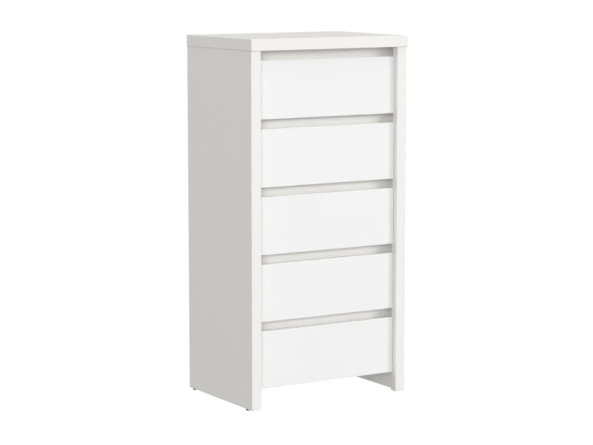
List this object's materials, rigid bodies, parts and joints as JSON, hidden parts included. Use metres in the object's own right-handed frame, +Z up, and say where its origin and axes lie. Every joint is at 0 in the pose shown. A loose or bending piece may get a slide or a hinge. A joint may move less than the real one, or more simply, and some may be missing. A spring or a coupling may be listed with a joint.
{
  "type": "tall chest of drawers",
  "caption": "Tall narrow chest of drawers with a thick top, thickened side edges and flat gloss fronts pulled by their top edge.",
  "frame": {"origin": "on the floor, under the middle of the chest's width and depth", "axes": "+Z up; +Y from the drawer fronts to the back, so a drawer opens along -Y; +X to the right of a person facing the drawer fronts"},
  "size_m": [0.58, 0.419, 1.165],
  "materials": {
    "body_laminate": "matt off-white laminate on board, fine pearl texture",
    "gloss_front": "high-gloss white foil on board",
    "drawer_board": "satin off-white foil on board",
    "drawer_hardboard": "off-white coated hardboard",
    "hardboard": "raw brown hardboard outside, off-white coat inside",
    "slide_steel": "zinc-plated",
    "glide_plastic": "black moulded plastic"
  },
  "bodies": {
    "carcass": {"top_panel": "body_laminate", "side_panel_left": "body_laminate", "side_panel_right": "body_laminate", "bottom_panel": "body_laminate", "back_panel": "hardboard", "grip_rail_1": "body_laminate", "grip_rail_2": "body_laminate", "grip_rail_3": "body_laminate", "grip_rail_4": "body_laminate", "grip_rail_5": "body_laminate", "glide_front_left": "glide_plastic", "glide_front_right": "glide_plastic", "glide_rear_left": "glide_plastic", "glide_rear_right": "glide_plastic", "cabinet_slide_left_1": "slide_steel", "cabinet_slide_left_2": "slide_steel", "cabinet_slide_left_3": "slide_steel", "cabinet_slide_left_4": "slide_steel", "cabinet_slide_left_5": "slide_steel", "cabinet_slide_right_1": "slide_steel", "cabinet_slide_right_2": "slide_steel", "cabinet_slide_right_3": "slide_steel", "cabinet_slide_right_4": "slide_steel", "cabinet_slide_right_5": "slide_steel"},
    "drawer_1": {"drawer_1_front": "gloss_front", "drawer_1_side_left": "drawer_board", "drawer_1_side_right": "drawer_board", "drawer_1_back": "drawer_board", "drawer_1_bottom": "drawer_hardboard", "drawer_1_slide_left": "slide_steel", "drawer_1_slide_right": "slide_steel"},
    "drawer_2": {"drawer_2_front": "gloss_front", "drawer_2_side_left": "drawer_board", "drawer_2_side_right": "drawer_board", "drawer_2_back": "drawer_board", "drawer_2_bottom": "drawer_hardboard", "drawer_2_slide_left": "slide_steel", "drawer_2_slide_right": "slide_steel"},
    "drawer_3": {"drawer_3_front": "gloss_front", "drawer_3_side_left": "drawer_board", "drawer_3_side_right": "drawer_board", "drawer_3_back": "drawer_board", "drawer_3_bottom": "drawer_hardboard", "drawer_3_slide_left": "slide_steel", "drawer_3_slide_right": "slide_steel"},
    "drawer_4": {"drawer_4_front": "gloss_front", "drawer_4_side_left": "drawer_board", "drawer_4_side_right": "drawer_board", "drawer_4_back": "drawer_board", "drawer_4_bottom": "drawer_hardboard", "drawer_4_slide_left": "slide_steel", "drawer_4_slide_right": "slide_steel"},
    "drawer_5": {"drawer_5_front": "gloss_front", "drawer_5_side_left": "drawer_board", "drawer_5_side_right": "drawer_board", "drawer_5_back": "drawer_board", "drawer_5_bottom": "drawer_hardboard", "drawer_5_slide_left": "slide_steel", "drawer_5_slide_right": "slide_steel"}
  },
  "joints": [
    {"name": "drawer_1_pull", "type": "slide", "parent": "carcass", "child": "drawer_1", "axis": [0, -1, 0], "range_m": [0, 0.26]},
    {"name": "drawer_2_pull", "type": "slide", "parent": "carcass", "child": "drawer_2", "axis": [0, -1, 0], "range_m": [0, 0.26]},
    {"name": "drawer_3_pull", "type": "slide", "parent": "carcass", "child": "drawer_3", "axis": [0, -1, 0], "range_m": [0, 0.26]},
    {"name": "drawer_4_pull", "type": "slide", "parent": "carcass", "child": "drawer_4", "axis": [0, -1, 0], "range_m": [0, 0.26]},
    {"name": "drawer_5_pull", "type": "slide", "parent": "carcass", "child": "drawer_5", "axis": [0, -1, 0], "range_m": [0, 0.26]}
  ]
}
